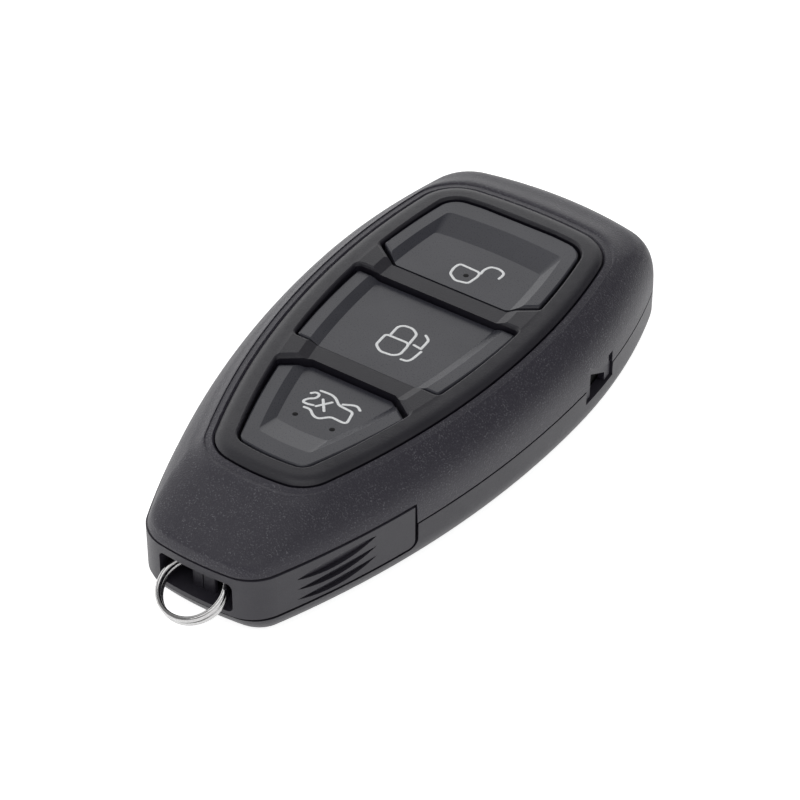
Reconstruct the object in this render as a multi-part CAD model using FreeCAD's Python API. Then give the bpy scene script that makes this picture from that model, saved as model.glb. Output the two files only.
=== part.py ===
import FreeCAD, Part
import math
import os
from collections import namedtuple

V = FreeCAD.Vector

# Keyless car fob, all sizes in millimetres. +Y runs from the ring end to the wide end,
# +X to the right, +Z up. The origin is on the flat back, under the middle of the length.

# Body plan, at the parting line
body_length = 80.0
body_width = 39.4
widest_y = 12.8
near_flank_radius = 121.5
far_flank_radius = 74.0
near_end_radius = 42.0
far_end_radius = 47.0
corner_radius = 5.3

# Heights of the outside
parting_z = 7.0
land_z = 14.6
seam_z = 14.8
rim_z = 15.5
band_low_z = 3.8
band_top_z = 9.75

# Rounding of the back edge
flank_back_radius = 4.0
near_back_radius = 5.0
far_back_radius = 3.5

# Walls and gaps
cover_wall = 1.4
top_wall = 1.3
roof_drop = 1.2
parting_gap = 0.28
band_gap = 0.2
band_low_gap = 0.4
seam_gap = 0.12
inner_gap = 0.3

# Button panel, whose outline is the seam in the front cover
panel_half_width = 14.69
panel_widest_y = 11.0
panel_near_y = -28.1
panel_far_y = 32.05
panel_near_flank = 98.0
panel_far_flank = 87.0
panel_near_end = 29.0
panel_far_end = 69.0
panel_near_corner = 4.9
panel_far_corner = 6.1
land_width = 1.05
seam_chamfer = 0.25
border = 2.8
crown_steps = ((0.5, 0.5), (1.4, 0.85))
panel_underside_z = 13.2
panel_flange_z = 11.9
panel_flange_height = 0.7
panel_flange_lip = 0.35

# Bays for the three button caps: near and far edge
unlock_bay = (12.65, 29.05)
lock_bay = (-5.4, 10.2)
boot_bay = (-25.35, -7.85)
bay_corner = (3.4, 2.4)
bay_edge_radius = 0.7
least_radius = 0.3

# Rounded rims, in steps: how far off the bay's wall, and how far down from the rim
bay_rim = ((0.4, 0.0), (0.13, 0.13), (0.0, 0.4))
cap_rim = ((0.25, 0.0), (0.08, 0.08), (0.0, 0.25))

# Shallow dish that runs across the panel and the caps
dish_half_width = 9.8
dish_near_y = -22.3
dish_far_y = 26.0
dish_side_slope = 1.3
dish_near_slope = 3.5
dish_far_slope = 4.0
dish_depth = 0.55
dish_edge_corner = 0.8
dish_floor_corner = 0.6
dish_top_corner = 1.0

# Button caps: each sits a little under the rim and tips down towards its far edge
cap_travel = 0.4
unlock_gap = 0.35
lock_gap = 0.3
boot_gap = 0.3
unlock_drop = 0.05
lock_drop = 0.25
boot_drop = 0.25
unlock_tilt = 1.2
lock_tilt = 2.2
boot_tilt = 2.2
cap_flange_lip = 0.6
cap_flange_height = 0.6
cap_play = 0.1
cap_wall = 1.0
cap_roof = 1.1
cap_stem_radius = 1.8
pad_clearance = 0.05

# Keypad, switches and circuit board
board_z = 9.0
board_thickness = 0.8
board_gap = 0.5
board_near_y = -31.5
switch_size = 4.5
switch_height = 1.1
switch_dome = 0.2
switch_dome_radius = 1.1
switch_pad_gap = 0.15
keypad_thickness = 0.5
keypad_pad_radius = 2.6
keypad_skirt = 1.0
keypad_inset = 0.5

# Coin cell and its contacts
cell_radius = 10.0
cell_height = 3.2
cell_y = 24.0
cell_rim = 0.35
contact_width = 6.0
contact_length = 13.0
contact_thickness = 0.25
contact_gap = 0.05

# Small parts on the board
chip_size = 6.0
chip_height = 0.9
crystal_length = 5.0
crystal_width = 3.2
crystal_height = 1.0
antenna_size = 11.0
antenna_height = 3.0
antenna_y = -3.0
transponder_length = 12.0
transponder_width = 3.4
transponder_height = 2.8
transponder_y = -18.0
capacitor_size = 1.6
capacitor_count = 5
capacitor_pitch = 2.6
chip_corner = (5.0, 9.0)
crystal_corner = (-10.0, 10.0)
capacitor_corner = (6.0, -10.0)
antenna_groove = 0.6
transponder_groove = 0.5
coil_flange = 0.5

# Chassis under the board
chassis_floor_z = 4.2
chassis_floor = 0.8
chassis_wall = 1.0

# Ring yoke, release arms and ring
yoke_back_y = -33.9
arm_root_y = -34.4
arm_wall = 1.2
arm_length = 16.3
arm_end_gap = 0.35
cover_end_gap = 0.5
arm_swing = 3.0
arm_clear = 0.6
arm_root_gap = 0.5
arm_end_round = 0.95
groove_count = 3
groove_pitch = 1.53
groove_length = 10.5
groove_rise = 0.85
groove_low_bulge = 1.0
groove_top_bulge = 0.08
first_groove_bulge = 0.6
groove_depth = 0.45
groove_top_depth = 0.1
groove_from_root = 5.5
groove_middle_z = 6.8
window_half_width = 5.17
window_low_z = 4.4
window_top_z = 8.7
window_depth = 5.0
window_corner = 0.8
post_width = 3.3
post_depth = 0.8
post_setback = 1.7
post_corner = 0.3
post_line = 0.15
ring_wire = 0.7
ring_radius = 4.15
ring_quarter_turns = 7
ring_turn_gap = 0.42
ring_centre = (-0.2, -39.95, 5.7)
ring_tilt = 25.5
ring_steps = 24

# Prying notch in the right flank: a tongue of the front cover fills a cut-out in the back cover,
# and a slot with a slanted top goes through the tongue
tongue_y = (13.7, 20.1)
tongue_low_z = 5.1
tongue_gap = 0.2
tongue_recess = 0.35
tongue_wall = 0.9
recess_top = ((13.7, 9.6), (14.4, 10.1), (17.1, 8.4), (18.4, 7.9))
slit_width = 1.1
slit_top_z = 8.9
slot_near_y = 14.9
slot_far_y = 18.6
slot_near_top_z = 8.65
slot_far_top_z = 6.4

# Emergency key
key_floor_gap = 0.35
key_head_thickness = 2.2
key_head_width = 13.6
key_head_length = 20.0
key_head_near_y = -30.0
key_head_corner = 3.0
key_eye_radius = 2.0
blade_thickness = 1.8
blade_width = 7.6
blade_length = 40.0
blade_tang = 10.0
blade_groove = 0.5
blade_fit = 0.02
key_guide_gap = 0.3
key_guide_wall = 1.0
key_guide_length = 20.0
key_guide_setback = 4.0
blade_point = 2.3

# Steps of the back edge's rounding, and the least length that counts
back_edge_levels = 8
tiny = 1e-6

# A plan is a closed outline of tangent arcs, the same left and right
Plan = namedtuple("Plan", "half_width wide_y near far near_flank far_flank "
                          "near_end far_end near_corner far_corner")

body_plan = Plan(
    body_width / 2, widest_y, -body_length / 2, body_length / 2,
    near_flank_radius, far_flank_radius, near_end_radius, far_end_radius,
    corner_radius, corner_radius)

panel_plan = Plan(
    panel_half_width, panel_widest_y, panel_near_y, panel_far_y,
    panel_near_flank, panel_far_flank, panel_near_end, panel_far_end,
    panel_near_corner, panel_far_corner)


def inset(plan, d):
    """The same plan with every point moved in by d, or out by a negative d."""
    return Plan(
        plan.half_width - d, plan.wide_y, plan.near + d, plan.far - d,
        plan.near_flank - d, plan.far_flank - d, plan.near_end - d, plan.far_end - d,
        max(plan.near_corner - d, least_radius), max(plan.far_corner - d, least_radius))


def mix(a, b, side, near, far):
    """A plan between a and b: the flanks, the near end and the far end each by their own share."""
    shares = (side, side, near, far, side, side, near, far, near, far)
    return Plan(*[p + (q - p) * s for p, q, s in zip(a, b, shares)])


def crossing(c1, r1, c2, r2, up):
    """Where two circles cross: the crossing with the larger y if up is 1, the smaller if it is -1."""
    line = c2 - c1
    d = line.Length
    along = (r1 * r1 - r2 * r2 + d * d) / (2 * d)
    across = math.sqrt(r1 * r1 - along * along)
    line = line * (1 / d)
    foot = c1 + line * along
    side = V(-line.y, line.x, 0) * across
    return max(foot + side, foot - side, key=lambda p: p.y * up)


def ray_point(centre, through, radius):
    step = through - centre
    return centre + step * (radius / step.Length)


def arc(centre, radius, start, end):
    middle = ray_point(centre, (start + end) * 0.5, radius)
    return Part.Arc(start, middle, end).toShape()


def mirrored(p):
    return V(-p.x, p.y, p.z)


def outline(plan, z):
    """The plan's closed wire at height z: ten arcs, anticlockwise from the near end."""
    near_c = V(0, plan.near + plan.near_end, 0)
    far_c = V(0, plan.far - plan.far_end, 0)
    flank_near_c = V(plan.half_width - plan.near_flank, plan.wide_y, 0)
    flank_far_c = V(plan.half_width - plan.far_flank, plan.wide_y, 0)
    rn = plan.near_corner
    rf = plan.far_corner
    k_near = crossing(near_c, plan.near_end - rn, flank_near_c, plan.near_flank - rn, -1)
    k_far = crossing(far_c, plan.far_end - rf, flank_far_c, plan.far_flank - rf, 1)
    a = ray_point(near_c, k_near, plan.near_end)
    b = ray_point(flank_near_c, k_near, plan.near_flank)
    c = V(plan.half_width, plan.wide_y, 0)
    d = ray_point(flank_far_c, k_far, plan.far_flank)
    e = ray_point(far_c, k_far, plan.far_end)
    right = [(k_near, rn, a, b), (flank_near_c, plan.near_flank, b, c),
             (flank_far_c, plan.far_flank, c, d), (k_far, rf, d, e)]
    left = [(mirrored(m), r, mirrored(q), mirrored(p)) for m, r, p, q in reversed(right)]
    arcs = [(near_c, plan.near_end, mirrored(a), a)] + right
    arcs += [(far_c, plan.far_end, e, mirrored(e))] + left
    wire = Part.Wire([arc(*piece) for piece in arcs])
    wire.translate(V(0, 0, z))
    return wire


def flank_x(plan, y):
    """Half width of the plan at y, on the flank arcs."""
    r = plan.near_flank if y < plan.wide_y else plan.far_flank
    return plan.half_width - r + math.sqrt(r * r - (y - plan.wide_y) ** 2)


def prism(plan, z0, z1):
    return Part.Face(outline(plan, z0)).extrude(V(0, 0, z1 - z0))


def loft(levels, ruled=False):
    return Part.makeLoft([outline(plan, z) for plan, z in levels], True, ruled)


def block(x0, x1, y0, y1, z0, z1):
    return Part.makeBox(x1 - x0, y1 - y0, z1 - z0, V(x0, y0, z0))


def disc(x, y, radius, z0, z1):
    return Part.makeCylinder(radius, z1 - z0, V(x, y, z0))


def upright_edges(shape):
    boxes = [(edge, edge.BoundBox) for edge in shape.Edges]
    return [edge for edge, box in boxes if box.ZLength > 0.2 and box.XLength < tiny and box.YLength < tiny]


# The outside of the front cover closes in from the parting line to a narrow land round the seam. At
# a share h of the height the flanks have come in by h ** flank_power and the far end by
# h ** far_power. The near end is a wall that leans in a little from the band, and a straight slope
# up to the land, joined by a rolled edge.
flank_power = 3.3
far_power = 6.8
near_lean = 0.18
near_fall = 3.5
near_roll = 0.4
slope_levels = (0, 0.15, 0.3, 0.4, 0.47, 0.53, 0.57, 0.61, 0.65, 0.7, 0.76, 0.82, 0.88, 0.94, 1)


def near_closing(z):
    """How far the near end has come in at height z."""
    wall = near_lean * (z - band_top_z)
    slope = panel_near_y - land_width + body_length / 2 - near_fall * (land_z - z)
    return (wall + slope) / 2 + math.hypot((wall - slope) / 2, near_roll)


def cover_block(wall, drop):
    """The front cover's outer form, closed in by a wall and lowered by drop."""
    land = inset(panel_plan, -land_width)
    top = inset(panel_plan, -seam_chamfer)
    levels = []
    for h in slope_levels:
        z = parting_z + h * (land_z - parting_z)
        near = near_closing(z) / near_closing(land_z)
        plan = mix(body_plan, land, h ** flank_power, near, h ** far_power)
        levels.append((inset(plan, wall), z - drop))
    lid = loft([(inset(land, wall), land_z - drop), (inset(top, wall), seam_z - drop)], True)
    return loft(levels).fuse(lid).removeSplitter()


def arm_hinge(side):
    """Where an arm bends: on the inner skin of its root. side is 1 for right, -1 for left."""
    return V(side * flank_x(inset(body_plan, arm_wall), arm_root_y), arm_root_y, 0)


def arm_radius():
    """From the hinge to the outer corner of the arm's free end."""
    y = arm_root_y + arm_length
    reach = V(flank_x(body_plan, y), y, 0) - arm_hinge(1)
    return reach.Length - (arm_length - reach.y)


def arm_zone(z0, z1, gap, low_round=0):
    """All that lies nearer the ring end than the arms' free ends, plus a gap. The lower edge there
    can be rounded."""
    radius = arm_radius() + gap
    zone = block(-body_width, body_width, -body_length, arm_root_y + arm_length / 2, z0, z1)
    for side in (1, -1):
        hinge = arm_hinge(side)
        sweep = disc(hinge.x, hinge.y, radius, z0, z1)
        if low_round:
            sweep = sweep.makeFillet(low_round, [e for e in sweep.Edges if e.BoundBox.ZMax < z0 + tiny])
        zone = zone.fuse(sweep)
    return zone


def side_prism(corners):
    """A solid that goes through the right flank, from its corners (y, z) in side view."""
    points = [V(0, y, z) for y, z in corners]
    return Part.Face(Part.makePolygon(points + points[:1])).extrude(V(body_width, 0, 0))


def pry_tongue(shell):
    """The front cover's shell with its recessed tongue at the prying notch, and the slot in it."""
    y0, y1 = tongue_y
    low = parting_z - parting_gap
    recess = side_prism(((y0, low),) + recess_top + ((y1, recess_top[-1][1]), (y1, low)))
    recess = recess.cut(prism(inset(body_plan, tongue_recess), 0, rim_z))
    slit = side_prism(((y1 - slit_width, low), (y1, low), (y1, slit_top_z), (y1 - slit_width, slit_top_z)))
    high = parting_z + parting_gap
    skin = prism(inset(body_plan, tongue_recess), tongue_low_z, high)
    skin = skin.cut(prism(inset(body_plan, tongue_recess + tongue_wall), tongue_low_z, high))
    tongue = skin.common(side_prism(((y0, 0), (y1, 0), (y1, rim_z), (y0, rim_z))))
    slot_low = tongue_low_z - tongue_gap
    slot = side_prism(((slot_near_y, slot_low), (slot_far_y, slot_low),
                       (slot_far_y, slot_far_top_z), (slot_near_y, slot_near_top_z)))
    return shell.cut(recess).cut(slit).fuse(tongue).cut(slot).removeSplitter()


def front_cover():
    shell = cover_block(0, 0).cut(cover_block(top_wall, roof_drop))
    shell = shell.cut(block(-body_width, body_width, -body_length, body_length,
                            0, parting_z + parting_gap / 2))
    opening = prism(panel_plan, panel_flange_z, rim_z)
    bevel = loft([(panel_plan, seam_z - seam_chamfer),
                  (inset(panel_plan, -2 * seam_chamfer), seam_z + seam_chamfer)], True)
    shell = shell.cut(opening).cut(bevel)
    shell = shell.cut(arm_zone(0, band_top_z + band_gap, arm_end_gap))
    return pry_tongue(shell)


def back_block(wall, top):
    """The back cover's form with its rounded back edge, closed in by a wall, up to the height top."""
    upright = inset(body_plan, wall)
    radii = [r - wall for r in (flank_back_radius, near_back_radius, far_back_radius)]
    levels = []
    for k in range(back_edge_levels + 1):
        up = max(radii) * (1 - math.cos(k * math.pi / 2 / back_edge_levels))
        steps_in = [r - math.sqrt(r * r - max(r - up, 0) ** 2) for r in radii]
        levels.append((mix(upright, inset(upright, 1), *steps_in), wall + up))
    return loft(levels).fuse(prism(upright, wall + max(radii), top)).removeSplitter()


def back_cover():
    top = parting_z - parting_gap / 2
    shell = back_block(0, top).cut(back_block(cover_wall, top + cover_wall))
    low_round = arm_end_round + band_low_gap
    shell = shell.cut(arm_zone(band_low_z - band_low_gap, parting_z, cover_end_gap, low_round))
    y0 = tongue_y[0] - tongue_gap
    y1 = tongue_y[1] + tongue_gap
    low = tongue_low_z - tongue_gap
    return shell.cut(side_prism(((y0, low), (y1, low), (y1, parting_z), (y0, parting_z))))


def bay(button, d, z0, z1):
    """A button's bay, closed in by d: the panel's border at the sides, straight near and far
    edges, and corners cut off where the button has them."""
    field = inset(panel_plan, border + d)
    y0 = button.edges[0] + d
    y1 = button.edges[1] - d
    dx, dy = bay_corner
    wide = panel_plan.half_width
    near_x = flank_x(field, y0 + dy) - dx if button.cut_near else wide
    far_x = flank_x(field, y1 - dy) - dx if button.cut_far else wide
    right = [(near_x, y0)]
    if button.cut_near:
        right.append((wide, y0 + dy * (wide - near_x) / dx))
    if button.cut_far:
        right.append((wide, y1 - dy * (wide - far_x) / dx))
    right.append((far_x, y1))
    points = [V(x, y, z0) for x, y in right] + [V(-x, y, z0) for x, y in reversed(right)]
    polygon = Part.Face(Part.makePolygon(points + points[:1]))
    shape = prism(field, z0, z1).common(polygon.extrude(V(0, 0, z1 - z0)))
    return shape.makeFillet(max(bay_edge_radius - d, least_radius), upright_edges(shape))


def bay_outline(button, d, z):
    floor = [face for face in bay(button, d, z, z + 1).Faces if face.BoundBox.ZMax < z + tiny][0]
    return floor.OuterWire


def flared(button, gap, side, rim):
    """A bay's upright form with a stepped rim at the top: side 1 flares out, side -1 closes in."""
    steps = [(gap - side * rim[0][0], rim_z + 1)]
    steps += [(gap - side * off, rim_z - down) for off, down in rim]
    steps.append((gap, panel_flange_z))
    return Part.makeLoft([bay_outline(button, d, z) for d, z in reversed(steps)], True, True)


def middle(button):
    return sum(button.edges) / 2


# Each button: name, bay edges, near corners cut, far corners cut, and gap, drop and tilt of its cap
Button = namedtuple("Button", "name edges cut_near cut_far gap drop tilt")
buttons = (
    Button("unlock", unlock_bay, True, False, unlock_gap, unlock_drop, unlock_tilt),
    Button("lock", lock_bay, False, False, lock_gap, lock_drop, lock_tilt),
    Button("boot", boot_bay, False, True, boot_gap, boot_drop, boot_tilt),
)


def crowned_block(z0):
    """The panel's outer form from z0 up, its border crowned from the seam to the rim, with the dish."""
    rise = rim_z - seam_z
    crown = [(seam_gap, 0)] + list(crown_steps) + [(border, 1)]
    top = loft([(inset(panel_plan, d), seam_z + share * rise) for d, share in crown])
    solid = prism(inset(panel_plan, seam_gap), z0, seam_z).fuse(top)
    return solid.cut(dish()).removeSplitter()


def dish():
    edge = inset(panel_plan, panel_half_width - dish_half_width)
    edge = edge._replace(near=dish_near_y, far=dish_far_y,
                         near_corner=dish_edge_corner, far_corner=dish_edge_corner)
    floor = inset(edge, dish_side_slope)
    floor = floor._replace(near=dish_near_y + dish_near_slope, far=dish_far_y - dish_far_slope,
                           near_corner=dish_floor_corner, far_corner=dish_floor_corner)
    above = mix(floor, edge, 2, 2, 2)._replace(near_corner=dish_top_corner, far_corner=dish_top_corner)
    return loft([(floor, rim_z - dish_depth), (above, rim_z + dish_depth)], True)


def button_panel():
    panel = crowned_block(panel_underside_z)
    for button in buttons:
        panel = panel.cut(flared(button, 0, 1, bay_rim))
    skirt = prism(inset(panel_plan, seam_gap), panel_flange_z, panel_underside_z)
    lip = prism(inset(panel_plan, -panel_flange_lip), panel_flange_z, panel_flange_z + panel_flange_height)
    room = prism(inset(panel_plan, border - cap_flange_lip - inner_gap), panel_flange_z, panel_underside_z)
    return panel.fuse(skirt.fuse(lip).cut(room)).removeSplitter()


def button_cap(button):
    """A cap: the dished block tipped down towards its far edge, a flange that holds it under the
    panel, and a pocket with a stem over the switch."""
    near_y, far_y = button.edges
    blank = crowned_block(panel_flange_z).common(flared(button, button.gap, -1, cap_rim))
    blank.rotate(V(0, near_y, rim_z), V(1, 0, 0), -button.tilt)
    blank.translate(V(0, 0, -button.drop))
    flange_top = panel_underside_z - cap_play
    flange_low = flange_top - cap_flange_height
    cap = blank.common(bay(button, button.gap, flange_low, rim_z + 1))
    cap = cap.fuse(bay(button, -cap_flange_lip, flange_low, flange_top))
    tip = (far_y - near_y) * math.sin(math.radians(button.tilt))
    pocket_top = rim_z - dish_depth - button.drop - tip - cap_roof
    pocket = bay(button, button.gap + cap_wall, flange_low, pocket_top)
    stem = disc(0, middle(button), cap_stem_radius, flange_low, pocket_top)
    return cap.cut(pocket.cut(stem)).removeSplitter()


def pad_top():
    return panel_underside_z - cap_play - cap_flange_height - cap_travel - pad_clearance


def keypad_z():
    """Underside of the keypad sheet, just above the switches."""
    return board_z + board_thickness + switch_height + switch_dome + switch_pad_gap


def keypad_membrane():
    low = keypad_z()
    plan = inset(panel_plan, keypad_inset)
    sheet = prism(plan, low, low + keypad_thickness)
    skirt = prism(plan, board_z + board_thickness, low).cut(
        prism(inset(plan, keypad_skirt), board_z + board_thickness, low))
    sheet = sheet.fuse(skirt)
    for button in buttons:
        sheet = sheet.fuse(disc(0, middle(button), keypad_pad_radius, low, pad_top()))
    return sheet.removeSplitter()


def switch(button):
    y = middle(button)
    low = board_z + board_thickness
    half = switch_size / 2
    body = block(-half, half, y - half, y + half, low, low + switch_height)
    return body.fuse(disc(0, y, switch_dome_radius, low, low + switch_height + switch_dome)).removeSplitter()


def arm_room():
    """How far in from the body's outline the arms reach when they are pressed."""
    return arm_wall + arm_length * math.sin(math.radians(arm_swing)) + arm_clear


def arms_clear(z0, z1, wall=0):
    """The room that the arms swing in, with a wall round it, as a tool that trims what lies there."""
    keep = prism(inset(body_plan, arm_room() + wall), z0, z1)
    return arm_zone(z0, z1, arm_end_gap + arm_root_gap + wall).cut(keep)


def circuit_board():
    board = prism(inset(body_plan, cover_wall + inner_gap + board_gap), board_z, board_z + board_thickness)
    board = board.cut(arms_clear(board_z, board_z + board_thickness))
    return board.cut(block(-body_width, body_width, -body_length, board_near_y,
                           board_z, board_z + board_thickness))


def chassis():
    plan = inset(body_plan, cover_wall + inner_gap)
    inner_plan = inset(plan, chassis_wall)
    tray = prism(plan, chassis_floor_z, board_z)
    tray = tray.cut(arms_clear(chassis_floor_z, board_z))
    floor_top = chassis_floor_z + chassis_floor
    hollow = prism(inner_plan, floor_top, board_z).cut(arms_clear(floor_top, board_z, chassis_wall))
    end = block(-body_width, body_width, -body_length, yoke_back_y, chassis_floor_z, board_z)
    end_wall = block(-body_width, body_width, -body_length, yoke_back_y + chassis_wall, floor_top, board_z)
    tray = tray.cut(hollow.cut(end_wall)).cut(end)
    guide_x = blade_width / 2 + key_guide_gap
    guide_y = key_head_near_y + key_head_length + key_guide_setback
    guide_low = cover_wall + key_floor_gap + (key_head_thickness - blade_thickness) / 2
    for side in (-1, 1):
        x0 = min(side * guide_x, side * (guide_x + key_guide_wall))
        tray = tray.fuse(block(x0, x0 + key_guide_wall, guide_y, guide_y + key_guide_length,
                               guide_low, chassis_floor_z))
    return tray.removeSplitter()


def cell_z():
    return chassis_floor_z + chassis_floor + contact_thickness + contact_gap


def coin_cell():
    low = cell_z()
    can = disc(0, cell_y, cell_radius, low + cell_rim, low + cell_height)
    lid = disc(0, cell_y, cell_radius - 3 * cell_rim, low, low + cell_rim)
    return can.fuse(lid).removeSplitter()


def lower_contact():
    low = chassis_floor_z + chassis_floor
    return block(-contact_width / 2, contact_width / 2, cell_y - contact_length / 2,
                 cell_y + contact_length / 2, low, low + contact_thickness)


def upper_contact():
    top = cell_z() + cell_height + contact_gap
    y0 = cell_y - contact_length / 2
    half = contact_width / 2
    leaf = block(-half, half, y0, y0 + contact_length, top, top + contact_thickness)
    foot = block(-half, half, y0, y0 + contact_thickness, top, board_z)
    return leaf.fuse(foot).removeSplitter()


def radio_chip():
    low = board_z + board_thickness
    x, y = chip_corner
    return block(x, x + chip_size, y, y + chip_size, low, low + chip_height)


def crystal():
    low = board_z + board_thickness
    x, y = crystal_corner
    return block(x, x + crystal_length, y, y + crystal_width, low, low + crystal_height)


def capacitors():
    low = board_z + board_thickness
    thin = capacitor_size / 2
    x, y0 = capacitor_corner
    parts = []
    for k in range(capacitor_count):
        y = y0 + k * capacitor_pitch
        parts.append(block(x, x + capacitor_size, y, y + thin, low, low + thin))
    return Part.makeCompound(parts)


def antenna_coil():
    half = antenna_size / 2
    low = board_z - antenna_height
    coil = block(-half, half, antenna_y - half, antenna_y + half, low, board_z)
    channel = antenna_size / 4
    top = board_z - coil_flange
    for side in (-1, 1):
        x = side * half
        y = antenna_y + x
        coil = coil.cut(block(x - antenna_groove, x + antenna_groove,
                              antenna_y - channel, antenna_y + channel, low, top))
        coil = coil.cut(block(-channel, channel, y - antenna_groove, y + antenna_groove, low, top))
    return coil


def transponder_coil():
    half = transponder_length / 2
    low = board_z - transponder_height
    coil = block(-half, half, transponder_y - transponder_width / 2,
                 transponder_y + transponder_width / 2, low, board_z)
    waist = transponder_length / 4
    for side in (-1, 1):
        y = transponder_y + side * transponder_width / 2
        coil = coil.cut(block(-waist, waist, y - transponder_groove, y + transponder_groove,
                              low, board_z - coil_flange))
    return coil


def ring_yoke():
    """The end block: flush with the body all round, open at the end face for the ring, with the
    post that the ring goes round."""
    end_block = prism(body_plan, band_low_z, band_top_z)
    end_block = end_block.common(block(-body_width, body_width, -body_length, arm_root_y, 0, rim_z))
    back_half = flank_x(inset(body_plan, arm_room()), arm_root_y)
    back = block(-back_half, back_half, arm_root_y, yoke_back_y, band_low_z, band_top_z)
    end_y = -body_length / 2
    window = block(-window_half_width, window_half_width, end_y - 1, end_y + window_depth,
                   window_low_z, window_top_z)
    window = window.makeFillet(window_corner, [e for e in window.Edges if e.BoundBox.YLength > 1])
    post = block(-post_width / 2, post_width / 2, end_y + post_setback, end_y + post_setback + post_depth,
                 window_low_z, window_top_z)
    post = post.makeFillet(post_corner, upright_edges(post))
    front = end_y + post_setback
    line = block(-post_line / 2, post_line / 2, front - post_line, front + post_line,
                 window_low_z, window_top_z)
    return end_block.fuse(back).cut(window).fuse(post.cut(line)).removeSplitter()


def leaf_groove(z, top_bulge):
    """A leaf-shaped groove round height z, cut into the right arm along its flank. It rises towards
    the free end, and its floor slopes from a shallow upper edge to a deep lower one."""
    half = groove_length / 2
    y0 = arm_root_y + groove_from_root - half
    y1 = y0 + groove_length
    near = V(flank_x(body_plan, y0), y0, z - groove_rise / 2)
    far = V(flank_x(body_plan, y1), y1, z + groove_rise / 2)
    along = (far - near) * (1 / (far - near).Length)
    out = V(along.y, -along.x, 0) * (1 / math.hypot(along.x, along.y))
    up = out.cross(along) * (1 if out.cross(along).z > 0 else -1)
    middle = (near + far) * 0.5
    leaf = Part.Wire([Part.Arc(near, middle + up * top_bulge, far).toShape(),
                      Part.Arc(far, middle - up * groove_low_bulge, near).toShape()])
    tool = Part.Face(leaf).extrude(out * -2 * groove_depth)
    tool = tool.fuse(Part.Face(leaf).extrude(out * groove_depth))
    fall = (groove_depth - groove_top_depth) / groove_low_bulge
    start = near - along * half
    low = start - up * 2 * groove_low_bulge - out * (groove_top_depth + 2 * fall * groove_low_bulge)
    high = start + up * 2 * groove_low_bulge - out * (groove_top_depth - 2 * fall * groove_low_bulge)
    section = Part.makePolygon([low, high, high + out * 2, low + out * 2, low])
    return tool.common(Part.Face(section).extrude(along * 4 * half))


def release_arm(side):
    arm = prism(body_plan, band_low_z, band_top_z)
    arm = arm.cut(prism(inset(body_plan, arm_wall), band_low_z, band_top_z))
    half = block(0, body_width, arm_root_y, body_length, 0, rim_z)
    hinge = arm_hinge(1)
    arm = arm.common(half).common(disc(hinge.x, hinge.y, arm_radius(), band_low_z, band_top_z))
    end_y = arm_root_y + arm_length
    corner = [e for e in arm.Edges if abs(e.CenterOfMass.z - band_low_z) < tiny
              and e.CenterOfMass.y > end_y - arm_wall and e.Length < 2 * arm_wall]
    arm = arm.makeFillet(arm_end_round, corner)
    for k in range(groove_count):
        z = groove_middle_z + ((groove_count - 1) / 2 - k) * groove_pitch
        arm = arm.cut(leaf_groove(z, groove_top_bulge if k else first_groove_bulge))
    return arm if side > 0 else arm.mirror(V(0, 0, 0), V(1, 0, 0))


def ring_pitch():
    return ring_wire + ring_turn_gap


def ring_point(angle):
    """A point on the ring's line and the direction there, by its angle from the line's middle, which
    lies inside the yoke."""
    turn = angle + math.pi / 2
    rise = ring_pitch() / (2 * math.pi)
    point = V(ring_radius * math.cos(turn), ring_radius * math.sin(turn), rise * angle)
    direction = V(-ring_radius * math.sin(turn), ring_radius * math.cos(turn), rise)
    return point, direction * (1 / direction.Length)


def biarc(start, start_dir, end, end_dir):
    """Two arcs that join two points of the ring's line, tangent to it at both."""
    chord = end - start
    sum_dir = start_dir + end_dir
    a = 4 - sum_dir.dot(sum_dir)
    b = 2 * chord.dot(sum_dir)
    d = (-b + math.sqrt(b * b + 4 * a * chord.dot(chord))) / (2 * a)
    first = start + start_dir * d
    second = end - end_dir * d
    joint = (first + second) * 0.5
    arcs = []
    for p, corner, q in ((start, first, joint), (joint, second, end)):
        half = (q - p).Length / 2
        foot = (p + q) * 0.5
        lean = (corner - foot) * (1 / (corner - foot).Length)
        sagitta = half * math.tan(math.acos(half / d) / 2)
        arcs.append(Part.Arc(p, foot + lean * sagitta, q).toShape())
    return arcs


def ring_path():
    """The split ring's line: quarter turns of a helix, its two ends hidden behind the post."""
    half = ring_quarter_turns * math.pi / 4
    arcs = []
    for k in range(ring_quarter_turns):
        start = ring_point(k * math.pi / 2 - half)
        end = ring_point((k + 1) * math.pi / 2 - half)
        arcs += biarc(*start, *end)
    return Part.Wire(arcs)


def ring_own_gap():
    """Least gap between the turns, measured on points a few degrees apart along the line."""
    steps = ring_steps * ring_quarter_turns
    half = ring_quarter_turns * math.pi / 4
    points = [ring_point(-half + 2 * half * k / steps)[0] for k in range(steps + 1)]
    apart = 2 * ring_steps
    least = min((points[i] - points[j]).Length
                for i in range(steps + 1) for j in range(i + apart, steps + 1))
    return least - ring_wire


def split_ring():
    start, direction = ring_point(-ring_quarter_turns * math.pi / 4)
    section = Part.Wire([Part.Circle(start, direction, ring_wire / 2).toShape()])
    ring = ring_path().makePipeShell([section], True, False)
    ring.rotate(V(0, 0, 0), V(1, 0, 0), ring_tilt)
    ring.translate(V(*ring_centre))
    return ring


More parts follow.
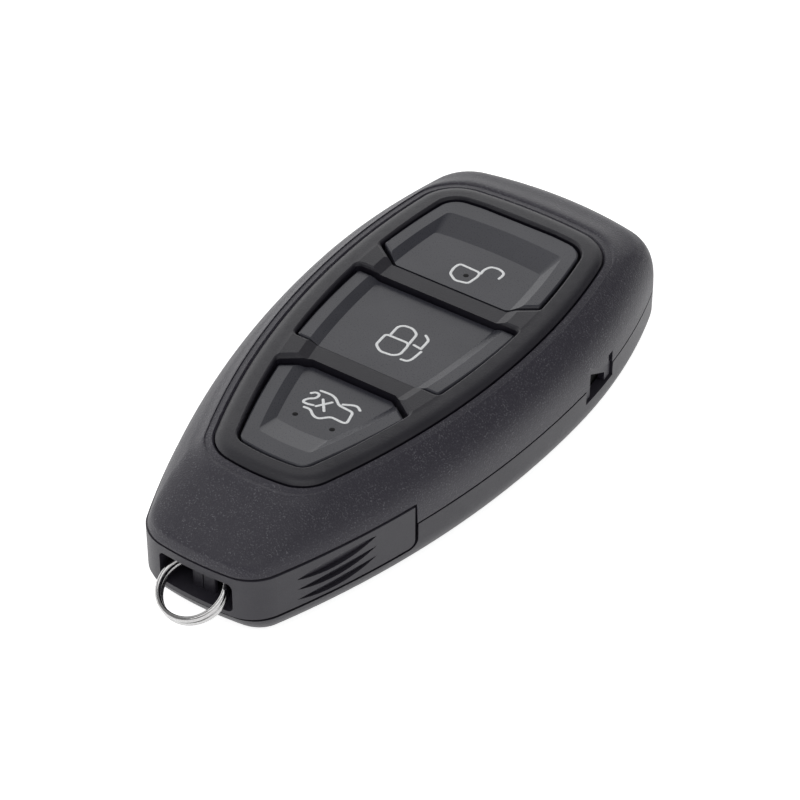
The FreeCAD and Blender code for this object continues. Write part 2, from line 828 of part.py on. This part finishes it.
def key_head():
    low = cover_wall + key_floor_gap
    half = key_head_width / 2
    far_y = key_head_near_y + key_head_length
    head = block(-half, half, key_head_near_y, far_y, low, low + key_head_thickness)
    head = head.makeFillet(key_head_corner, upright_edges(head))
    eye_y = key_head_near_y + 2 * key_eye_radius
    head = head.cut(disc(0, eye_y, key_eye_radius, low, low + key_head_thickness))
    z0 = low + (key_head_thickness - blade_thickness) / 2
    slot_half = blade_width / 2 + blade_fit
    return head.cut(block(-slot_half, slot_half, far_y - blade_tang - blade_fit, far_y,
                          z0 - blade_fit, z0 + blade_thickness + blade_fit))


def key_blade():
    low = cover_wall + key_floor_gap + (key_head_thickness - blade_thickness) / 2
    y0 = key_head_near_y + key_head_length - blade_tang
    y1 = y0 + blade_tang + blade_length
    half = blade_width / 2
    blade = block(-half, half, y0, y1, low, low + blade_thickness)
    tip = [e for e in upright_edges(blade) if abs(e.CenterOfMass.y - y1) < tiny]
    blade = blade.makeChamfer(blade_point, tip)
    track = block(-blade_groove, blade_groove, y0 + blade_tang, y1, low + blade_thickness - blade_groove,
                  low + blade_thickness)
    return blade.cut(track)


def build():
    """Every piece of the fob by its name."""
    pieces = {
        "front_cover": front_cover(),
        "back_cover": back_cover(),
        "button_panel": button_panel(),
        "keypad_membrane": keypad_membrane(),
        "circuit_board": circuit_board(),
        "radio_chip": radio_chip(),
        "crystal": crystal(),
        "board_capacitors": capacitors(),
        "antenna_coil": antenna_coil(),
        "transponder_coil": transponder_coil(),
        "coin_cell": coin_cell(),
        "lower_battery_contact": lower_contact(),
        "upper_battery_contact": upper_contact(),
        "chassis": chassis(),
        "ring_yoke": ring_yoke(),
        "right_release_arm": release_arm(1),
        "left_release_arm": release_arm(-1),
        "split_ring": split_ring(),
        "key_head": key_head(),
        "key_blade": key_blade(),
    }
    for button in buttons:
        pieces[button.name + "_button"] = button_cap(button)
        pieces[button.name + "_switch"] = switch(button)
    return pieces


os.makedirs("parts", exist_ok=True)
for name, shape in build().items():
    shape.exportStep("parts/" + name + ".step")
    print(name, shape.ShapeType, len(shape.Solids), shape.isValid(), round(shape.Volume, 2))
print("ring: volume by section and length", round(math.pi * ring_wire ** 2 / 4 * ring_path().Length, 3))
print("ring: least gap to itself", round(ring_own_gap(), 3))
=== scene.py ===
import math

import bmesh
import bpy
import numpy as np
from mathutils import Matrix, Vector


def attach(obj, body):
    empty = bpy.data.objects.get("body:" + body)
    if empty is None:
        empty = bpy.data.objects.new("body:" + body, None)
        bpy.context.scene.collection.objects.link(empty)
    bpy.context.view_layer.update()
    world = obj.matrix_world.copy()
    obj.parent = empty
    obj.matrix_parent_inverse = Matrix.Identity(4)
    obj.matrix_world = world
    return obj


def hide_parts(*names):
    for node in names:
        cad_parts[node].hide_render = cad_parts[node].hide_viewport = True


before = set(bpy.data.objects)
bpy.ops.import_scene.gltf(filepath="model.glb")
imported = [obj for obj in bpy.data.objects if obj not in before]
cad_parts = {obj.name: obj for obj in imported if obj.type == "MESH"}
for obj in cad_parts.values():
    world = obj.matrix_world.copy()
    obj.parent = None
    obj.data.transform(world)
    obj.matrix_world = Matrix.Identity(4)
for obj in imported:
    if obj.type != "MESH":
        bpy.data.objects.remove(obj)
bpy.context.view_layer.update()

# The back cover, the end block and the two grip arms: moulded in black plastic from spark-eroded
# tools, which leaves a fine matte grain all over. The covers snap together round the parting line
# and hold the block and the arms between them.

MM = 0.001
grain_detail = 3
patch_detail = 4


def new_finish(name, roughness, metal=0.0, specular=0.5):
    """A new material, with its node tree and its shader, whose plain numbers sit on its sockets."""
    material = bpy.data.materials.new(name)
    material.use_nodes = True
    tree = material.node_tree
    shader = tree.nodes["Principled BSDF"]
    shader.inputs["Roughness"].default_value = roughness
    shader.inputs["Metallic"].default_value = metal
    shader.inputs["Specular IOR Level"].default_value = specular
    return material, tree, shader


def cloudy(tree, size, detail=2.0, stretch=(1, 1, 1)):
    """Noise from 0 to 1 with features of that size, laid out on Object coordinates."""
    place = tree.nodes.new("ShaderNodeTexCoord")
    turn = tree.nodes.new("ShaderNodeMapping")
    turn.inputs["Scale"].default_value = stretch
    noise = tree.nodes.new("ShaderNodeTexNoise")
    noise.inputs["Scale"].default_value = 1 / size
    noise.inputs["Detail"].default_value = detail
    tree.links.new(place.outputs["Object"], turn.inputs["Vector"])
    tree.links.new(turn.outputs["Vector"], noise.inputs["Vector"])
    return noise.outputs["Fac"]


def spread(tree, value, low, high, floor=0.3, ceiling=0.7):
    """Maps a noise value, which mostly lies between floor and ceiling, to run from low to high."""
    span = tree.nodes.new("ShaderNodeMapRange")
    span.inputs["From Min"].default_value = floor
    span.inputs["From Max"].default_value = ceiling
    span.inputs["To Min"].default_value = low
    span.inputs["To Max"].default_value = high
    tree.links.new(value, span.inputs["Value"])
    return span.outputs["Result"]


def two_tones(tree, shader, value, dark, pale, floor=0.35, ceiling=0.65):
    """Colours the shader between two close tones by a noise value."""
    ramp = tree.nodes.new("ShaderNodeValToRGB")
    ramp.color_ramp.elements[0].position = floor
    ramp.color_ramp.elements[1].position = ceiling
    ramp.color_ramp.elements[0].color = (*dark, 1)
    ramp.color_ramp.elements[1].color = (*pale, 1)
    tree.links.new(value, ramp.inputs["Fac"])
    tree.links.new(ramp.outputs["Color"], shader.inputs["Base Color"])


def uneven_gloss(tree, shader, value, roughness):
    """Lets the roughness run between its two ends with a noise value."""
    tree.links.new(spread(tree, value, *roughness), shader.inputs["Roughness"])


def relief(tree, shader, height, depth):
    """Raises the surface by a height from 0 to 1 times the depth."""
    bump = tree.nodes.new("ShaderNodeBump")
    bump.inputs["Distance"].default_value = depth
    tree.links.new(height, bump.inputs["Height"])
    tree.links.new(bump.outputs["Normal"], shader.inputs["Normal"])


def grained(name, dark, pale, roughness, grain, depth, patch):
    """A moulded finish: a fine even grain, faint patches of tone, and gloss that varies with the
    grain."""
    material, tree, shader = new_finish(name, roughness[0])
    two_tones(tree, shader, cloudy(tree, patch, patch_detail), dark, pale)
    fine = cloudy(tree, grain, grain_detail)
    uneven_gloss(tree, shader, fine, roughness)
    relief(tree, shader, fine, depth)
    return material


def dress(material, *names):
    """Gives CAD nodes their material."""
    for name in names:
        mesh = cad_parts[name].data
        mesh.materials.clear()
        mesh.materials.append(material)


case_roughness = (0.40, 0.50)
case_plastic = grained("case_plastic", dark=(0.0225, 0.0207, 0.0290), pale=(0.0295, 0.0275, 0.0365),
                       roughness=case_roughness, grain=0.16 * MM, depth=0.020 * MM, patch=5.0 * MM)
dress(case_plastic, "back_cover", "ring_yoke", "right_release_arm", "left_release_arm")

# The front cover: the same plastic from a tool with a coarser grain. Small pale specks, scattered in
# loose clusters, are painted into its colour as painted highlights: the glints of its grain.

grain_and_glint_size = 0.20 * MM
glint_detail = 1
glint_edges = (0.56, 0.72)
glint_cluster_size = 2.2 * MM
glint_cluster_thinnest = 0.15
cover_colour = (0.0205, 0.0180, 0.0290)
# The pale tone of the painted glints, mixed into the cover's colour.
painted_glint_tone = (0.105, 0.103, 0.118)
speck_depth = 0.08 * MM


def combined(tree, operation, first, second):
    """One value made of two others by that arithmetic operation."""
    result = tree.nodes.new("ShaderNodeMath")
    result.operation = operation
    tree.links.new(first, result.inputs[0])
    tree.links.new(second, result.inputs[1])
    return result.outputs["Value"]


cover_plastic, tree, shader = new_finish("cover_plastic", case_roughness[0])
# Painted glints: pale specks, thinned out in loose clusters, stand in for highlights off the grain.
glint_spots = spread(tree, cloudy(tree, grain_and_glint_size, glint_detail), 0, 1, *glint_edges)
glint_clusters = spread(tree, cloudy(tree, glint_cluster_size, grain_detail), glint_cluster_thinnest, 1)
painted_glints = combined(tree, "MULTIPLY", glint_spots, glint_clusters)
two_tones(tree, shader, painted_glints, cover_colour, painted_glint_tone, 0.0, 1.0)
uneven_gloss(tree, shader, cloudy(tree, grain_and_glint_size, grain_detail), case_roughness)
relief(tree, shader, cloudy(tree, grain_and_glint_size), speck_depth)
dress(cover_plastic, "front_cover")

# The button panel: a separate frame round the three bays, moulded in the same black plastic but
# from a finer tool. It drops in from inside and shows as an island behind a hairline seam.

panel_plastic = grained("panel_plastic", dark=(0.0075, 0.0066, 0.0120), pale=(0.0120, 0.0110, 0.0170),
                        roughness=(0.38, 0.48), grain=0.18 * MM, depth=0.025 * MM, patch=4.0 * MM)
dress(panel_plastic, "button_panel")

# The three button caps: moulded plastic under a satin soft-touch lacquer, so they are smoother and
# a touch paler than the frame. Each hangs on its own flange and rests on the keypad.

cap_plastic = grained("cap_plastic", dark=(0.027, 0.0275, 0.036), pale=(0.035, 0.0355, 0.045),
                      roughness=(0.26, 0.33), grain=0.15 * MM, depth=0.006 * MM, patch=6.0 * MM)
dress(cap_plastic, "unlock_button", "lock_button", "boot_button")

# The pictograms: thin strokes of white ink, pad printed on the flat floor of each cap's dish, with
# a few small dark dots. Each print goes down with its cap.

stroke_width = 0.36 * MM
stroke_sides = 12
stroke_tip_steps = 6
stroke_tip_least = 0.02
ink_height = 0.025 * MM
corner_round = 0.45 * MM
corner_points = 7
shortest_step = 1e-7
dot_radius = 0.36 * MM
dot_sides = 20
dot_rings = 5
dot_top_angle = 0.02
plumb_height = 50 * MM

white_ink, tree, shader = new_finish("white_ink", 0.45)
two_tones(tree, shader, cloudy(tree, 0.15 * MM, grain_detail), dark=(0.74, 0.75, 0.76),
          pale=(0.88, 0.89, 0.90))
relief(tree, shader, cloudy(tree, 0.08 * MM), depth=0.004 * MM)
dark_ink, tree, shader = new_finish("dark_ink", 0.5, specular=0.1)
two_tones(tree, shader, cloudy(tree, 0.1 * MM), dark=(0.004, 0.004, 0.005),
          pale=(0.008, 0.008, 0.009))


def softened(points, closed):
    """The drawn points in metres, with each corner replaced by a parabola that is tangent to both
    of its runs: (1-t)^2 a + 2t(1-t) p + t^2 b, a and b up to corner_round away from the corner p."""
    p = np.array(points, float) * MM
    inner = p if closed else p[1:-1]
    before = np.roll(p, 1, axis=0) if closed else p[:-2]
    after = np.roll(p, -1, axis=0) if closed else p[2:]
    reach_a = np.minimum(corner_round / np.linalg.norm(before - inner, axis=1), 0.5)[:, None]
    reach_b = np.minimum(corner_round / np.linalg.norm(after - inner, axis=1), 0.5)[:, None]
    a = (inner + (before - inner) * reach_a)[:, None]
    b = (inner + (after - inner) * reach_b)[:, None]
    t = np.linspace(0, 1, corner_points)[None, :, None]
    curve = ((1 - t) ** 2 * a + 2 * t * (1 - t) * inner[:, None] + t ** 2 * b).reshape(-1, 2)
    if not closed:
        curve = np.concatenate([p[:1], curve, p[-1:]])
    steps = np.linalg.norm(np.diff(curve, axis=0), axis=1)
    return curve[np.concatenate([[True], steps > shortest_step])]


def skin(rings, sides, closed=False):
    """The faces of a row of rings of points: a quad between each two neighbours of two neighbouring
    rings, and one face over each end unless the row closes on itself."""
    i = np.arange(rings if closed else rings - 1)[:, None]
    j = np.arange(sides)[None, :]
    here, there, beside = i * sides, (i + 1) % rings * sides, (j + 1) % sides
    quads = np.stack([here + j, there + j, there + beside, here + beside], axis=2)
    faces = quads.reshape(-1, 4).tolist()
    if not closed:
        last = (rings - 1) * sides
        faces += [list(range(sides)), list(range(last, last + sides))[::-1]]
    return faces


def stroke(points, closed=False):
    """A stroke of ink along the points, as vertices and faces. Each of its rings is a flat half
    ellipse across the line, and an open stroke's rings shrink as a half circle at both ends."""
    half = stroke_width / 2
    line = softened(points, closed)
    if closed:
        along = np.roll(line, -1, axis=0) - np.roll(line, 1, axis=0)
    else:
        along = np.gradient(line, axis=0)
    along /= np.linalg.norm(along, axis=1)[:, None]
    width = np.full(len(line), half)
    if not closed:
        angle = np.linspace(0, math.pi / 2, stroke_tip_steps)[1:]
        push = half * np.sin(angle)[:, None]
        first_tip = (line[0] - along[0] * push)[::-1]
        last_tip = line[-1] + along[-1] * push
        line = np.concatenate([first_tip, line, last_tip])
        shrink = half * np.maximum(np.cos(angle), stroke_tip_least)
        width = np.concatenate([shrink[::-1], width, shrink])
        along = np.concatenate([np.repeat(along[:1], len(angle), axis=0), along,
                                np.repeat(along[-1:], len(angle), axis=0)])
    across = np.stack([-along[:, 1], along[:, 0]], axis=1)
    around = np.linspace(0, 2 * math.pi, stroke_sides, endpoint=False)
    flat = line[:, None] + across[:, None] * width[:, None, None] * np.cos(around)[None, :, None]
    high = ink_height * np.sin(around)[None, :] * (width / half)[:, None]
    places = np.concatenate([flat, high[..., None]], axis=2)
    return places.reshape(-1, 3), skin(len(line), stroke_sides, closed)


def dot(x, y):
    """A round dot of ink: rings of radius r sin(a) and height h cos(a), from the top to the rim."""
    angle = np.linspace(dot_top_angle, math.pi / 2, dot_rings)[:, None]
    turn = np.linspace(0, 2 * math.pi, dot_sides, endpoint=False)[None, :]
    places = np.stack([x * MM + dot_radius * np.sin(angle) * np.cos(turn),
                       y * MM + dot_radius * np.sin(angle) * np.sin(turn),
                       ink_height * np.cos(angle) + 0 * turn], axis=2)
    return places.reshape(-1, 3), skin(dot_rings, dot_sides)


def facing_out(mesh):
    """Turns a closed mesh's faces outwards and shades it smooth."""
    whole = bmesh.new()
    whole.from_mesh(mesh)
    bmesh.ops.recalc_face_normals(whole, faces=whole.faces)
    whole.to_mesh(mesh)
    whole.free()
    mesh.shade_smooth()


def printed(name, cap, body, white, dark=()):
    """Joins strokes and dots to one print and lays it on the cap's floor: the plane through three
    points where a plumb line meets the cap."""
    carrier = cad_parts[cap]
    down = Vector((0, 0, -1))
    hits = [carrier.ray_cast(Vector((x * MM, y * MM, plumb_height)), down)[1]
            for x, y in white[0][0][:3]]
    normal = (hits[1] - hits[0]).cross(hits[2] - hits[0]).normalized()
    points, faces, inks = [], [], []
    shapes = [(stroke(*line), 0) for line in white] + [(dot(*place), 1) for place in dark]
    start = 0
    for (places, quads), ink in shapes:
        points.append(places)
        faces += [[start + k for k in quad] for quad in quads]
        inks += [ink] * len(quads)
        start += len(places)
    places = np.concatenate(points)
    away_x, away_y = places[:, 0] - hits[0].x, places[:, 1] - hits[0].y
    places[:, 2] += hits[0].z - (normal.x * away_x + normal.y * away_y) / normal.z
    mesh = bpy.data.meshes.new(name)
    mesh.from_pydata(places.tolist(), [], faces)
    mesh.materials.append(white_ink)
    mesh.materials.append(dark_ink)
    mesh.polygons.foreach_set("material_index", inks)
    facing_out(mesh)
    piece = bpy.data.objects.new(name, mesh)
    bpy.context.scene.collection.objects.link(piece)
    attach(piece, body)


open_padlock = [
    ([(-1.68, 17.73), (1.36, 17.61), (1.59, 16.8), (1.33, 14.94),
      (-0.32, 14.54), (-1.6, 15.36), (-1.86, 16.65)], True),
    ([(1.57, 17.51), (1.44, 18.39), (1.83, 19.38), (2.88, 19.6),
      (3.82, 19.27), (4.04, 18.7), (3.96, 17.92)], False)]
closed_padlock = [
    ([(-1.77, 1.54), (-1.59, -0.86), (-0.43, -1.68), (1.19, -1.5),
      (1.88, -0.81), (1.72, 1.14), (1.39, 1.62)], True),
    ([(-1.26, 1.89), (-1.42, 3.63), (-0.83, 4.27), (0.3, 4.33), (1.34, 3.65), (1.6, 1.52)], False),
    ([(2.34, 4.09), (3.18, 3.5), (3.32, 1.54)], False),
    ([(2.21, 1.7), (3.32, 1.54)], False),
    ([(3.65, 1.07), (3.59, -0.78), (3.3, -1.43), (2.5, -1.52)], False)]
open_boot = [
    ([(-2.34, -11.29), (-0.84, -11.17), (-0.02, -11.5), (1, -12.35), (3.09, -12.47),
      (3.64, -14.49), (3.25, -14.75), (1.46, -14.66), (0.41, -15.81), (-0.39, -15.69),
      (-1.41, -14.85), (-2.2, -14.95)], False),
    ([(1.28, -11.94), (2.31, -11.35), (2.95, -11.24), (3.57, -11.71)], False)]
twice_sign = [
    ([(-3.05, -12.33), (-2.66, -11.85), (-2.01, -11.96), (-1.98, -12.83),
      (-2.76, -13.35), (-3.03, -14.19), (-2.37, -14.3), (-1.54, -14.06)], False),
    ([(-1.14, -14.02), (0, -12.36)], False),
    ([(-1.19, -12.51), (0.16, -14.23)], False)]
unlock_dots = [(0.25, 16.13)]
boot_dots = [(-2.29, -16.65), (2.9, -16.5)]

printed("unlock_print", "unlock_button", "unlock_cap", open_padlock, unlock_dots)
printed("lock_print", "lock_button", "lock_cap", closed_padlock)
printed("boot_print", "boot_button", "boot_cap", open_boot + twice_sign, boot_dots)

# The split ring: flat spring steel wire wound into two turns that lie on each other, tumbled smooth
# and chromed. Its ends are hidden in the end block. It swings on the post.

ring_middle = (-0.2 * MM, -39.95 * MM, 5.7 * MM)
ring_tilt = math.radians(25.5)
ring_radius = 4.15 * MM
ring_pitch = 0.92 * MM
ring_half_angle = 7 / 4 * math.pi
ring_steps = 260
wire_thick = 0.66 * MM
wire_wide = 0.84 * MM
wire_sides = 20
wire_power = 0.8


def wound_ring():
    """A flat wire carried along a helix of 7 quarter turns, (R cos a, R sin a, pitch a / 2 pi). Its
    section is a superellipse: each of cos and sin to wire_power, with its sign."""
    angle = np.linspace(-ring_half_angle, ring_half_angle, ring_steps)[:, None]
    turn = angle + math.pi / 2
    around = np.linspace(0, 2 * math.pi, wire_sides, endpoint=False)[None, :]
    outward = wire_thick / 2 * np.sign(np.cos(around)) * np.abs(np.cos(around)) ** wire_power
    upward = wire_wide / 2 * np.sign(np.sin(around)) * np.abs(np.sin(around)) ** wire_power
    x = (ring_radius + outward) * np.cos(turn)
    y = (ring_radius + outward) * np.sin(turn)
    z = ring_pitch * angle / (2 * math.pi) + upward
    places = np.stack([x + ring_middle[0],
                       y * math.cos(ring_tilt) - z * math.sin(ring_tilt) + ring_middle[1],
                       y * math.sin(ring_tilt) + z * math.cos(ring_tilt) + ring_middle[2]], axis=2)
    return places.reshape(-1, 3), skin(ring_steps, wire_sides)


ring_chrome, tree, shader = new_finish("ring_chrome", 0.12, metal=1.0)
two_tones(tree, shader, cloudy(tree, 0.35 * MM, patch_detail, stretch=(1, 1, 6)),
          dark=(0.42, 0.41, 0.41), pale=(0.58, 0.58, 0.58))
uneven_gloss(tree, shader, cloudy(tree, 0.5 * MM, grain_detail), roughness=(0.07, 0.16))
relief(tree, shader, cloudy(tree, 0.20 * MM), depth=0.0015 * MM)
dress(ring_chrome, "split_ring")
places, faces = wound_ring()
mesh = bpy.data.meshes.new("wound_split_ring")
mesh.from_pydata(places.tolist(), [], faces)
facing_out(mesh)
mesh.materials.append(ring_chrome)
split_ring = bpy.data.objects.new("wound_split_ring", mesh)
bpy.context.scene.collection.objects.link(split_ring)
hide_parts("split_ring")
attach(split_ring, "ring")

# The chassis, the key's head and the radio chip's package: plain black plastic, left as it comes
# from the mould. The chassis carries the board and the coin cell, and guides the key.

inner_plastic = grained("inner_plastic", dark=(0.017, 0.017, 0.018), pale=(0.024, 0.024, 0.026),
                        roughness=(0.5, 0.6), grain=0.3 * MM, depth=0.006 * MM, patch=6.0 * MM)
dress(inner_plastic, "chassis", "key_head", "radio_chip")

# The keypad: one sheet of grey silicone with a pad under each cap, moulded in one piece and laid
# over the switches.

keypad_rubber = grained("keypad_rubber", dark=(0.26, 0.27, 0.28), pale=(0.31, 0.32, 0.33),
                        roughness=(0.55, 0.65), grain=0.4 * MM, depth=0.004 * MM, patch=8.0 * MM)
dress(keypad_rubber, "keypad_membrane")

# The circuit board: glass-fibre laminate under green solder mask, with five small ceramic
# capacitors soldered to it.

board_laminate = grained("board_laminate", dark=(0.02, 0.12, 0.05), pale=(0.03, 0.16, 0.07),
                         roughness=(0.3, 0.4), grain=0.5 * MM, depth=0.004 * MM, patch=3.0 * MM)
dress(board_laminate, "circuit_board")
ceramic_tan = grained("ceramic_tan", dark=(0.40, 0.29, 0.17), pale=(0.48, 0.36, 0.22),
                      roughness=(0.4, 0.5), grain=0.2 * MM, depth=0.004 * MM, patch=1.0 * MM)
dress(ceramic_tan, "board_capacitors")

# The steel pieces: the crystal's can, the domes of the switches, the coin cell with its two spring
# contacts, and the key's blade. All are pressed or milled and left bare.

brush_stretch = (12, 1, 12)
steel, tree, shader = new_finish("steel", 0.3, metal=1.0)
two_tones(tree, shader, cloudy(tree, 2 * MM, patch_detail), dark=(0.52, 0.52, 0.53),
          pale=(0.62, 0.62, 0.63))
relief(tree, shader, cloudy(tree, 0.3 * MM, stretch=brush_stretch), depth=0.002 * MM)
dress(steel, "crystal", "unlock_switch", "lock_switch", "boot_switch", "coin_cell",
      "lower_battery_contact", "upper_battery_contact", "key_blade")

# The two coils, of the radio and of the transponder: enamelled copper wire, wound in layers. Both
# lie under the board.

copper_winding, tree, shader = new_finish("copper_winding", 0.35, metal=1.0)
two_tones(tree, shader, cloudy(tree, 1 * MM, grain_detail), dark=(0.50, 0.22, 0.09),
          pale=(0.62, 0.30, 0.14))
dress(copper_winding, "antenna_coil", "transponder_coil")

# The light: a white tent, bright low on the left and dim overhead, with a brighter patch at the
# right and a darker one behind the far end. Each way points at a part of the tent, and its edges are
# the cosines of the angles from it between which the light goes from the first level to the second.

tent_main = {"way": (-0.50, 0.30, -0.80), "edges": (-0.34, -0.06), "levels": (0.28, 1.40)}
tent_side = {"way": (0.85, -0.25, 0.45), "edges": (0.72, 0.95), "levels": (0.0, 0.50)}
tent_dark = {"way": (0.38, 0.92, 0.12), "edges": (0.70, 0.97), "levels": (1.0, 0.25)}


def tent_part(tree, direction, way, edges, levels, blend="SMOOTHSTEP"):
    """Light that goes from one level to another as the direction closes in on the way."""
    towards = tree.nodes.new("ShaderNodeVectorMath")
    towards.operation = "DOT_PRODUCT"
    towards.inputs[1].default_value = Vector(way).normalized()
    level = tree.nodes.new("ShaderNodeMapRange")
    level.interpolation_type = blend
    level.inputs["From Min"].default_value = edges[0]
    level.inputs["From Max"].default_value = edges[1]
    level.inputs["To Min"].default_value = levels[0]
    level.inputs["To Max"].default_value = levels[1]
    tree.links.new(direction, towards.inputs[0])
    tree.links.new(towards.outputs["Value"], level.inputs["Value"])
    return level.outputs["Result"]


world = bpy.data.worlds.new("white_tent")
bpy.context.scene.world = world
world.use_nodes = True
tree = world.node_tree
backdrop = tree.nodes["Background"]
backdrop.inputs["Color"].default_value = (1, 1, 1, 1)
direction = tree.nodes.new("ShaderNodeTexCoord").outputs["Generated"]
lit = combined(tree, "ADD", tent_part(tree, direction, **tent_main, blend="LINEAR"),
               tent_part(tree, direction, **tent_side))
strength = combined(tree, "MULTIPLY", lit, tent_part(tree, direction, **tent_dark))
seen = tree.nodes.new("ShaderNodeLightPath")
white = combined(tree, "MAXIMUM", strength, seen.outputs["Is Camera Ray"])
tree.links.new(white, backdrop.inputs["Strength"])

# The table: one plain white sheet under the fob. It glows a little to the camera and in
# reflections, so that it shows as white, and keeps the fob's shadow.

table_size = 3.0
table_tone = (0.72, 0.72, 0.72)
table_glow = 0.84
table = bpy.data.meshes.new("table")
corners = table_size / 2 * np.array([(-1, -1, 0), (1, -1, 0), (1, 1, 0), (-1, 1, 0)])
table.from_pydata(corners.tolist(), [], [(0, 1, 2, 3)])
table_top = bpy.data.objects.new("table", table)
bpy.context.scene.collection.objects.link(table_top)
table_white, tree, shader = new_finish("table_white", 0.9, specular=0.1)
shader.inputs["Base Color"].default_value = (*table_tone, 1)
seen = tree.nodes.new("ShaderNodeLightPath")
shown = combined(tree, "MAXIMUM", seen.outputs["Is Camera Ray"], seen.outputs["Is Glossy Ray"])
shown = combined(tree, "MAXIMUM", shown, seen.outputs["Is Transmission Ray"])
amount = tree.nodes.new("ShaderNodeMath")
amount.operation = "MULTIPLY"
amount.inputs[1].default_value = table_glow
glow = tree.nodes.new("ShaderNodeEmission")
both = tree.nodes.new("ShaderNodeAddShader")
tree.links.new(shown, amount.inputs[0])
tree.links.new(amount.outputs["Value"], glow.inputs["Strength"])
tree.links.new(shader.outputs["BSDF"], both.inputs[0])
tree.links.new(glow.outputs["Emission"], both.inputs[1])
tree.links.new(both.outputs["Shader"], tree.nodes["Material Output"].inputs["Surface"])
table.materials.append(table_white)

# The lamp: one broad soft light in front of the fob and above it, turned to its middle.

lamp_place = Vector((0.05, -0.22, 0.50))
lamp_size = 0.50
lamp_power = 0.9
lamp = bpy.data.lights.new("soft_lamp", "AREA")
lamp.size = lamp_size
lamp.energy = lamp_power
lamp_stand = bpy.data.objects.new("soft_lamp", lamp)
lamp_stand.location = lamp_place
lamp_stand.rotation_euler = (-lamp_place).to_track_quat("-Z", "Y").to_euler()
bpy.context.scene.collection.objects.link(lamp_stand)

# The camera, at the photograph's viewing angle: 34 degrees round to the right and 40 degrees up,
# 400 mm away from a point of the table near the middle of the fob.

camera_turn = math.radians(34.061)
camera_rise = math.radians(40.372)
camera_target = Vector((-2.968, 6.347, 0)) * MM
camera_distance = 400.12 * MM
camera_lens = 144
camera = bpy.data.cameras.new("camera")
camera.lens = camera_lens
camera_back = Vector((math.sin(camera_turn) * math.cos(camera_rise),
                      -math.cos(camera_turn) * math.cos(camera_rise), math.sin(camera_rise)))
camera_right = Vector((math.cos(camera_turn), math.sin(camera_turn), 0))
camera_up = camera_back.cross(camera_right)
camera_stand = bpy.data.objects.new("camera", camera)
pose = Matrix((camera_right, camera_up, camera_back)).transposed().to_4x4()
pose.translation = camera_target + camera_back * camera_distance
camera_stand.matrix_world = pose
bpy.context.scene.collection.objects.link(camera_stand)
bpy.context.scene.camera = camera_stand
bpy.context.scene.view_settings.view_transform = "Standard"
